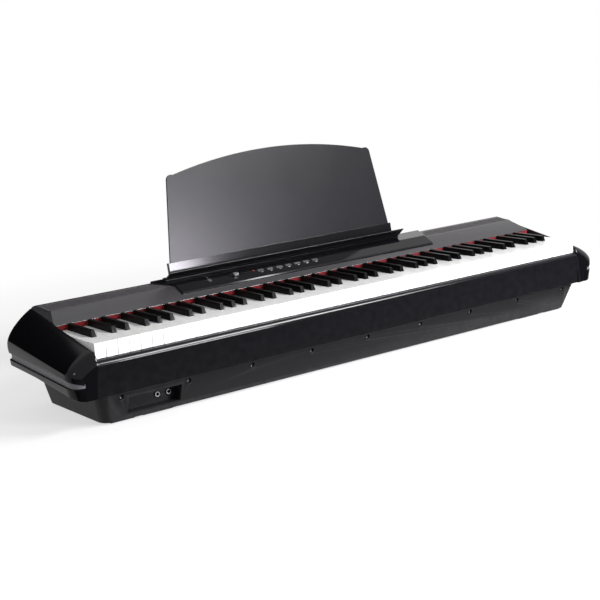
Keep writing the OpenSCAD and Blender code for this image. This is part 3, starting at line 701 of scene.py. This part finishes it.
@dataclass
class KeySlip:
    """Glossy rail in front of the keys with a rounded top. Sizes in millimetres."""

    half: float = 612.5
    front_y: float = -13.0
    back_y: float = -1.2
    top_z: float = -28.0
    split_z: float = -97.0
    radius: float = 11.0
    arc_steps: int = 16
    tuck: float = 4.4

    def build(self) -> None:
        """Draws the section out along the keyboard."""
        r, top = self.radius, self.top_z
        outline = [(self.back_y, self.split_z), (self.back_y, top - 0.6), (self.back_y - 0.8, top)]
        for i in range(self.arc_steps + 1):
            t = math.radians(90) * i / self.arc_steps
            outline.append((self.front_y + r - r * math.sin(t), top - 1 - r + r * math.cos(t)))
        foot = self.front_y + self.tuck
        outline += [(self.front_y, -60.0), (foot - 1.0, self.split_z + 0.8), (foot, self.split_z)]
        bm = bmesh.new()
        outline_solid(bm, outline, -self.half, self.half, Axis.X)
        finish_piece("key_slip_rail", bm, "case_gloss", "root", ("key_slip",), crease=50.0)


@dataclass
class Case:
    """Upper and lower case with their small fittings. Sizes in millimetres."""

    lower_round: float = 1.0
    upper_round: float = 0.8
    foot_round: float = 0.8
    facet_thick: float = 2.0
    screw_count: int = 9
    screw_pitch: float = 142.0
    head_radius: float = 3.9
    head_face: float = 2.6
    head_depth: float = 2.2
    socket_round: float = 0.4
    headphones_x: Pair = (-478.0, -454.0)

    def build(self) -> None:
        """Rounds the mouldings and adds the fittings."""
        softened("upper_case", self.upper_round)
        softened("lower_case", self.lower_round, 2, 40.0)
        softened("rubber_feet", self.foot_round)
        self.end_facets()
        self.front_screws()
        self.sockets()

    def end_facets(self) -> None:
        """Slanted strips that carry the panel down to the straight edge of each cheek."""
        corners = [
            ((612.3, 149.0, 14.1), (612.3, 186.0, 21.3), (612.3, 236.5, 31.0)),
            ((611.6, 150.5, 14.9), (597.2, 186.0, 31.9), (605.4, 236.5, 35.7)),
        ]
        for side, name in ((-1, "left_end_facet"), (1, "right_end_facet")):
            bm = bmesh.new()
            low, high = ([bm.verts.new(from_datum(side * x, y, z)) for x, y, z in row] for row in corners)
            faces = [
                bm.faces.new((low[0], low[1], high[1], high[0])),
                bm.faces.new((low[1], low[2], high[2], high[1])),
            ]
            drawn = bmesh.ops.extrude_face_region(bm, geom=faces)["geom"]
            under = [v for v in drawn if isinstance(v, bmesh.types.BMVert)]
            bmesh.ops.translate(bm, verts=under, vec=Vector((0, 0, -self.facet_thick * MM)))
            bmesh.ops.recalc_face_normals(bm, faces=bm.faces)
            round_edges(bm, 0.3, 2, 30.0)
            finish_piece(name, bm, "case_satin", "root")

    def front_screws(self) -> None:
        """Round screw heads with a sunk middle, one in each front pocket."""
        low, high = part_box("front_screws")
        middle = (low.z + high.z) / 2
        turn = Matrix.Rotation(math.radians(90), 4, "X")
        bm = bmesh.new()
        for i in range(self.screw_count):
            x = (i - (self.screw_count - 1) / 2) * self.screw_pitch * MM
            centre = Vector((x, low.y, middle)) + Vector((0, self.head_depth / 2 * MM, 0))
            head = bmesh.ops.create_cone(
                bm, cap_ends=True, segments=24, radius1=self.head_radius * MM, radius2=self.head_face * MM,
                depth=self.head_depth * MM, matrix=Matrix.Translation(centre) @ turn,
            )
            faces = {f for v in head["verts"] for f in v.link_faces}
            front = min(faces, key=lambda f: f.calc_center_median().y)
            bmesh.ops.inset_region(bm, faces=[front], thickness=1.2 * MM, depth=-0.7 * MM)
        finish_piece("front_screw_heads", bm, "screw_dark", "root", ("front_screws",))

    def sockets(self) -> None:
        """Rounded headphone and rear sockets, each with a bright ferrule."""
        softened("headphone_jacks", self.socket_round)
        softened("rear_sockets", self.socket_round)
        low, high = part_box("headphone_jacks")
        middle = (low.z + high.z) / 2
        bm = bmesh.new()
        for x in self.headphones_x:
            ring_piece(bm, Vector((x * MM, low.y - 0.0002, middle)), Axis.Y, 5.0, 3.3, 1.0)
        finish_piece("headphone_ferrules", bm, "screw_steel", "root")
        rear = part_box("rear_sockets")
        level = (rear[0].z + rear[1].z) / 2
        bm = bmesh.new()
        for x, radius, bore in ((392.0, 4.4, 2.9), (422.0, 5.4, 3.3)):
            ring_piece(bm, Vector((x * MM, rear[1].y + 0.0003, level)), Axis.Y, radius, bore, -1.0)
        finish_piece("rear_ferrules", bm, "screw_steel", "root")


@dataclass
class Grilles:
    """Perforated speaker grilles. Sizes in millimetres."""

    inner: float = 334.0
    length: float = 268.0
    slant: float = 27.0
    depth: float = 41.0
    start: float = 3.0
    sheet: float = 1.0
    pitch: float = 2.6
    ridge_y: float = 186.0
    ridge_z: float = 32.0
    rise: float = math.atan(4.0 / 52.0)

    def build(self) -> None:
        """Makes both grilles."""
        for side, node in ((-1, "left_grille"), (1, "right_grille")):
            self.grille(side, node)

    def grille(self, side: int, node: str) -> None:
        """Cuts square holes in a slanted sheet with a plain border.

        Args:
            side: -1 for the bass end, 1 for the treble end.
            node: The node that it stands for.
        """
        bm = bmesh.new()
        rows = int(self.depth / self.pitch)
        columns = int(self.length / self.pitch)
        grid = bmesh.ops.create_grid(bm, x_segments=columns, y_segments=rows, size=0.5)
        ridge = Matrix.Translation(from_datum(0, self.ridge_y, self.ridge_z))
        place = ridge @ Matrix.Rotation(self.rise, 4, "X")
        for v in grid["verts"]:
            across, back = v.co.x + 0.5, v.co.y + 0.5
            first = self.inner + self.slant * back
            x = first + across * (self.inner + self.length - first)
            y = self.start + self.depth * back
            v.co = place @ Vector((side * x * MM, y * MM, -0.2 * MM))
        bm.normal_update()
        holes = [f for f in bm.faces if not any(e.is_boundary for e in f.edges)]
        bmesh.ops.inset_individual(bm, faces=holes, thickness=0.5 * MM)
        bmesh.ops.delete(bm, geom=holes, context="FACES")
        bmesh.ops.recalc_face_normals(bm, faces=bm.faces)
        if sum(f.normal.z for f in bm.faces) < 0:
            bmesh.ops.reverse_faces(bm, faces=bm.faces)
        bmesh.ops.solidify(bm, geom=bm.faces[:], thickness=self.sheet * MM)
        finish_piece(node + "_sheet", bm, "grille_mesh", "root", (node,))


@dataclass
class ControlPanel:
    """Glossy raised panel with its buttons, slider, lamp and small marks. Sizes in millimetres."""

    rounding: float = 1.3
    slope: float = math.atan(21.0 / 43.6)
    foot_y: float = 142.4
    foot_z: float = 11.0
    row: float = 39.5
    skin: float = 4.6
    button_count: int = 7
    button_first: float = -128.0
    button_pitch: float = 23.2
    button_round: float = 0.5

    def on_slope(self, x: float, s: float, n: float) -> Vector:
        """Place of a point x along, s up the slope and n off the case skin."""
        c, k = math.cos(self.slope), math.sin(self.slope)
        return from_datum(x, self.foot_y + s * c - n * k, self.foot_z + s * k + n * c)

    def build(self) -> None:
        """Makes the panel and everything on it."""
        softened("control_panel", self.rounding, 3, 20.0)
        for i in range(self.button_count):
            softened(f"button_{i + 1}", self.button_round)
        softened("power_button", self.button_round)
        softened("volume_slider", 0.6)
        softened("power_led", 0.4, 3)
        self.marks()

    def marks(self) -> None:
        """Small pale dashes below the buttons, steps beside the slider and a bar at the power button."""
        bm = bmesh.new()
        for i in range(self.button_count):
            self.mark(bm, self.button_first + self.button_pitch * i, self.row - 6.5, 5.0, 0.9)
        for i in range(5):
            self.mark(bm, -200.0 + 5.0 * i, self.row + 6.0, 0.8, 0.8 + 0.7 * i)
        self.mark(bm, -253.0, self.row + 9.5, 0.8, 2.6)
        finish_piece("panel_marks", bm, "legend", "root")

    def mark(self, bm: bmesh.types.BMesh, x: float, s: float, long: float, high: float) -> None:
        """One flat mark of a given length and height on the panel."""
        made = bmesh.ops.create_cube(bm, size=1.0)["verts"]
        bmesh.ops.scale(bm, vec=(long * MM, high * MM, 0.1 * MM), verts=made)
        bmesh.ops.rotate(bm, matrix=Matrix.Rotation(self.slope, 3, "X"), verts=made)
        bmesh.ops.translate(bm, vec=self.on_slope(x, s, self.skin), verts=made)


@dataclass
class MusicRest:
    """Arched plate in its glossy holder. Sizes in millimetres."""

    x: float = -30.0
    y: float = 215.0
    z: float = 41.5
    lean: float = 8.9
    foot: float = 568.0
    top: float = 524.0
    side: float = 200.0
    arch: float = 33.0
    thick: float = 3.6
    grip: float = 32.0
    corner: float = 12.0

    def outline(self) -> Profile:
        """Outline of the plate seen from the front, as [x, z] from its foot."""
        half, r = self.top / 2, self.corner
        right = [(self.foot / 2, 2.0), (self.foot / 2, self.grip)]
        corner = [
            (half - r + r * math.cos(t), self.side - r * 0.6 + r * math.sin(t))
            for t in (math.radians(90) * i / 10 for i in range(10))
        ]
        edge = half * 0.93
        crown = [
            (edge * (1 - i / 16), self.side + 4.0 + (self.arch - 4.0) * (1 - (1 - i / 16) ** 2))
            for i in range(16)
        ]
        one = right + corner + crown
        other = [(-a, b) for a, b in reversed(one)]
        return one + [(0.0, self.side + self.arch)] + other

    def build(self) -> None:
        """Makes the plate and its holder."""
        bm = bmesh.new()
        outline_solid(bm, self.outline(), 0.0, self.thick, Axis.Y)
        round_edges(bm, 0.7, 3, 40.0)
        place = (
            Matrix.Translation(from_datum(self.x, self.y, self.z))
            @ Matrix.Rotation(math.radians(-self.lean), 4, "X")
            @ Matrix.Translation(-DATUM)
        )
        bmesh.ops.transform(bm, matrix=place, verts=bm.verts)
        finish_piece("music_rest_plate", bm, "rest_satin", "rest", ("music_rest",))
        softened("rest_holder", 0.9, 3, 25.0)


@dataclass
class Keyboard:
    """White and black keys with rounded edges. Sizes in millimetres."""

    white_round: float = 0.45
    black_round: float = 0.9

    def build(self) -> None:
        """Rounds each bank and each single key."""
        for node in frame["nodes"]:
            if node.startswith("naturals_"):
                softened(node, self.white_round, 2, 60.0)
            elif node.startswith("sharps_"):
                softened(node, self.black_round, 3, 25.0)
            elif node.startswith("key_") and BODY_OF[node] != "root":
                if "sharp" in node:
                    softened(node, self.black_round, 3, 25.0)
                else:
                    softened(node, self.white_round, 2, 60.0)


@dataclass
class InnerParts:
    """Parts that keep their construction shape and get a finish."""

    def build(self) -> None:
        """Dresses each node that still shows."""
        for name, node in frame["nodes"].items():
            if node.hide_render:
                continue
            node.data.materials.clear()
            node.data.materials.append(material_of(SLOT_OF[name]))
            log.info("%s keeps its shape", name)


# ---------------------------------------------------------------- studio


@dataclass
class Studio:
    """Pale floor, white surround, soft lamps and the camera."""

    place: tuple[float, float, float] = (-1.66792, -2.20818, 0.69896)
    turn: float = 35.83349704
    tilt: float = 11.91920879
    roll: float = -3.76942787
    lens: float = 81.405
    soft_strength: float = 0.42
    floor_half: float = 30.0
    floor_gap: float = 0.0005
    floor_base: float = 0.42
    floor_glow: float = 0.6
    fade_start: float = 0.75
    fade_end: float = 1.5

    def build(self) -> None:
        """Makes the whole studio."""
        scene = bpy.context.scene
        scene.view_settings.view_transform = "Standard"
        self.camera(scene)
        self.world(scene)
        self.floor()
        self.lamp("key_strip", (1.3, -1.75, 1.75), (0.0, 0.0, 0.1), (1.5, 0.36), 72.0)
        self.lamp("front_low", (0.52, -1.7, 0.38), (-0.3, 0.1, 0.25), (0.5, 0.32), 32.0, (0.95, 0.92, 1.0))
        self.lamp("bass_side", (-2.0, -1.1, 1.5), (-0.6, 0.0, 0.1), (0.4, 0.25), 5.0)
        self.lamp("edge_streak", (0.8, -1.4, 1.36), (-0.2, 0.0, 0.1), (1.0, 0.8), 80.0, shine_only=True)
        self.flag("rear_flag", (-1.2, 3.2, 1.6), (-1.2, 0.0, 1.0), (6.0, 3.2))
        self.flag("treble_flag", (2.5, -2.2, 0.9), (0.0, 0.0, 0.3), (2.6, 1.9))
        self.flag("floor_flag", (0.6, -1.3, 0.004), (0.6, -1.3, 1.0), (4.2, 2.3))

    @staticmethod
    def aimed(made: bpy.types.Object, place: Triple, aim: Triple) -> None:
        """Puts a lamp or a card in its place, facing a point.

        Args:
            made: The lamp or card.
            place: Its middle in metres.
            aim: The point that it faces.
        """
        made.location = place
        made.rotation_mode = "QUATERNION"
        made.rotation_quaternion = (Vector(aim) - Vector(place)).to_track_quat("-Z", "Y")

    def flag(self, name: str, place: Triple, aim: Triple, size: Pair) -> None:
        """A black card that only glossy finishes see.

        Args:
            name: Its name.
            place: Its middle in metres.
            aim: The point that it faces.
            size: Width and height in metres.
        """
        bm = bmesh.new()
        bmesh.ops.create_grid(bm, x_segments=1, y_segments=1, size=0.5)
        bmesh.ops.scale(bm, vec=(size[0], size[1], 1.0), verts=bm.verts)
        mesh = bpy.data.meshes.new(name)
        bm.to_mesh(mesh)
        bm.free()
        card = bpy.data.objects.new(name, mesh)
        self.aimed(card, place, aim)
        card.visible_camera = card.visible_diffuse = False
        card.visible_shadow = card.visible_transmission = False
        black = bpy.data.materials.new(name)
        black.use_nodes = True
        skin = black.node_tree.nodes["Principled BSDF"]
        skin.inputs["Base Color"].default_value = (0.01, 0.01, 0.01, 1.0)
        skin.inputs["Specular IOR Level"].default_value = 0.0
        mesh.materials.append(black)
        bpy.context.scene.collection.objects.link(card)

    def camera(self, scene: bpy.types.Scene) -> None:
        """Sets the camera at the viewing angle."""
        a, e, r = (math.radians(v) for v in (self.turn, self.tilt, self.roll))
        ahead = Vector((math.sin(a) * math.cos(e), math.cos(a) * math.cos(e), -math.sin(e)))
        right = Vector((math.cos(a), -math.sin(a), 0.0))
        up = right.cross(ahead)
        x_axis = right * math.cos(r) + up * math.sin(r)
        y_axis = -right * math.sin(r) + up * math.cos(r)
        turn = Matrix((x_axis, y_axis, -ahead)).transposed().to_4x4()
        data = bpy.data.cameras.new("camera")
        data.lens = self.lens
        data.sensor_width = 36.0
        made = bpy.data.objects.new("camera", data)
        made.matrix_world = Matrix.Translation(Vector(self.place)) @ turn
        scene.collection.objects.link(made)
        scene.camera = made

    @staticmethod
    def seen_mask(nodes: bpy.types.Nodes, links: bpy.types.NodeLinks) -> bpy.types.NodeSocket:
        """Mask of camera, glossy and transmission rays."""
        path = nodes.new("ShaderNodeLightPath")
        total = path.outputs["Is Camera Ray"]
        for name in ("Is Glossy Ray", "Is Transmission Ray"):
            add = nodes.new("ShaderNodeMath")
            add.operation = "MAXIMUM"
            links.new(total, add.inputs[0])
            links.new(path.outputs[name], add.inputs[1])
            total = add.outputs[0]
        return total

    def world(self, scene: bpy.types.Scene) -> None:
        """Makes a surround that is white to the eye and in reflections, and soft light for the rest."""
        world = bpy.data.worlds.new("surround")
        world.use_nodes = True
        scene.world = world
        nodes, links = world.node_tree.nodes, world.node_tree.links
        white = nodes["Background"]
        soft, mix = nodes.new("ShaderNodeBackground"), nodes.new("ShaderNodeMixShader")
        white.inputs["Color"].default_value = (1.0, 1.0, 1.0, 1.0)
        white.inputs["Strength"].default_value = 1.0
        soft.inputs["Color"].default_value = (1.0, 1.0, 1.0, 1.0)
        soft.inputs["Strength"].default_value = self.soft_strength
        links.new(self.seen_mask(nodes, links), mix.inputs["Fac"])
        links.new(soft.outputs[0], mix.inputs[1])
        links.new(white.outputs[0], mix.inputs[2])
        links.new(mix.outputs[0], nodes["World Output"].inputs["Surface"])

    def floor(self) -> None:
        """Pale floor that keeps the shadow."""
        bm = bmesh.new()
        bmesh.ops.create_grid(bm, x_segments=2, y_segments=2, size=self.floor_half)
        mesh = bpy.data.meshes.new("floor")
        bm.to_mesh(mesh)
        bm.free()
        made = bpy.data.objects.new("floor", mesh)
        made.location.z = CAD_BOX[0].z - self.floor_gap
        bpy.context.scene.collection.objects.link(made)
        paint = bpy.data.materials.new("floor_paint")
        paint.use_nodes = True
        nodes, links = paint.node_tree.nodes, paint.node_tree.links
        skin = nodes["Principled BSDF"]
        skin.inputs["Base Color"].default_value = (self.floor_base, self.floor_base, self.floor_base, 1.0)
        skin.inputs["Roughness"].default_value = 0.9
        skin.inputs["Specular IOR Level"].default_value = 0.0
        glow, add = nodes.new("ShaderNodeEmission"), nodes.new("ShaderNodeAddShader")
        near = nodes.new("ShaderNodeMixShader")
        glow.inputs["Strength"].default_value = self.floor_glow
        links.new(skin.outputs[0], add.inputs[0])
        links.new(glow.outputs[0], add.inputs[1])
        links.new(self.seen_mask(nodes, links), near.inputs["Fac"])
        links.new(skin.outputs[0], near.inputs[1])
        links.new(add.outputs[0], near.inputs[2])
        # Far from the piano the floor melts into the white surround.
        white, far = nodes.new("ShaderNodeEmission"), nodes.new("ShaderNodeMixShader")
        both, place = nodes.new("ShaderNodeMath"), nodes.new("ShaderNodeTexCoord")
        reach, fade = nodes.new("ShaderNodeVectorMath"), nodes.new("ShaderNodeMapRange")
        reach.operation = "LENGTH"
        fade.inputs["From Min"].default_value = self.fade_start
        fade.inputs["From Max"].default_value = self.fade_end
        fade.interpolation_type = "SMOOTHSTEP"
        both.operation = "MULTIPLY"
        links.new(place.outputs["Object"], reach.inputs[0])
        links.new(reach.outputs["Value"], fade.inputs["Value"])
        links.new(fade.outputs["Result"], both.inputs[0])
        links.new(self.seen_mask(nodes, links), both.inputs[1])
        links.new(both.outputs[0], far.inputs["Fac"])
        links.new(near.outputs[0], far.inputs[1])
        links.new(white.outputs[0], far.inputs[2])
        links.new(far.outputs[0], nodes["Material Output"].inputs["Surface"])
        mesh.materials.append(paint)

    def lamp(
        self, name: str, place: Triple, aim: Triple, size: Pair, power: float,
        colour: Triple = (1.0, 1.0, 1.0), shine_only: bool = False,
    ) -> None:
        """One soft area lamp.

        Args:
            name: Its name.
            place: Where it hangs, in metres.
            aim: The point that it faces.
            size: Width and height in metres.
            power: Power in watts.
            colour: Colour of its light.
            shine_only: True if only glossy reflections see it.
        """
        data = bpy.data.lights.new(name, "AREA")
        data.shape = "RECTANGLE"
        data.size, data.size_y = size
        data.energy = power
        data.color = colour
        made = bpy.data.objects.new(name, data)
        self.aimed(made, place, aim)
        made.visible_diffuse = not shine_only
        bpy.context.scene.collection.objects.link(made)


def main() -> None:
    """Builds the piano's pieces, then the studio."""
    logging.basicConfig(level=logging.INFO, format="%(message)s")
    parts = (
        Cheek(-1), Cheek(1), KeySlip(), Case(), Grilles(), ControlPanel(), MusicRest(), Keyboard(),
        InnerParts(), Studio(),
    )
    for part in parts:
        log.info("building %s", type(part).__name__)
        part.build()


if __name__ == "__main__":
    main()
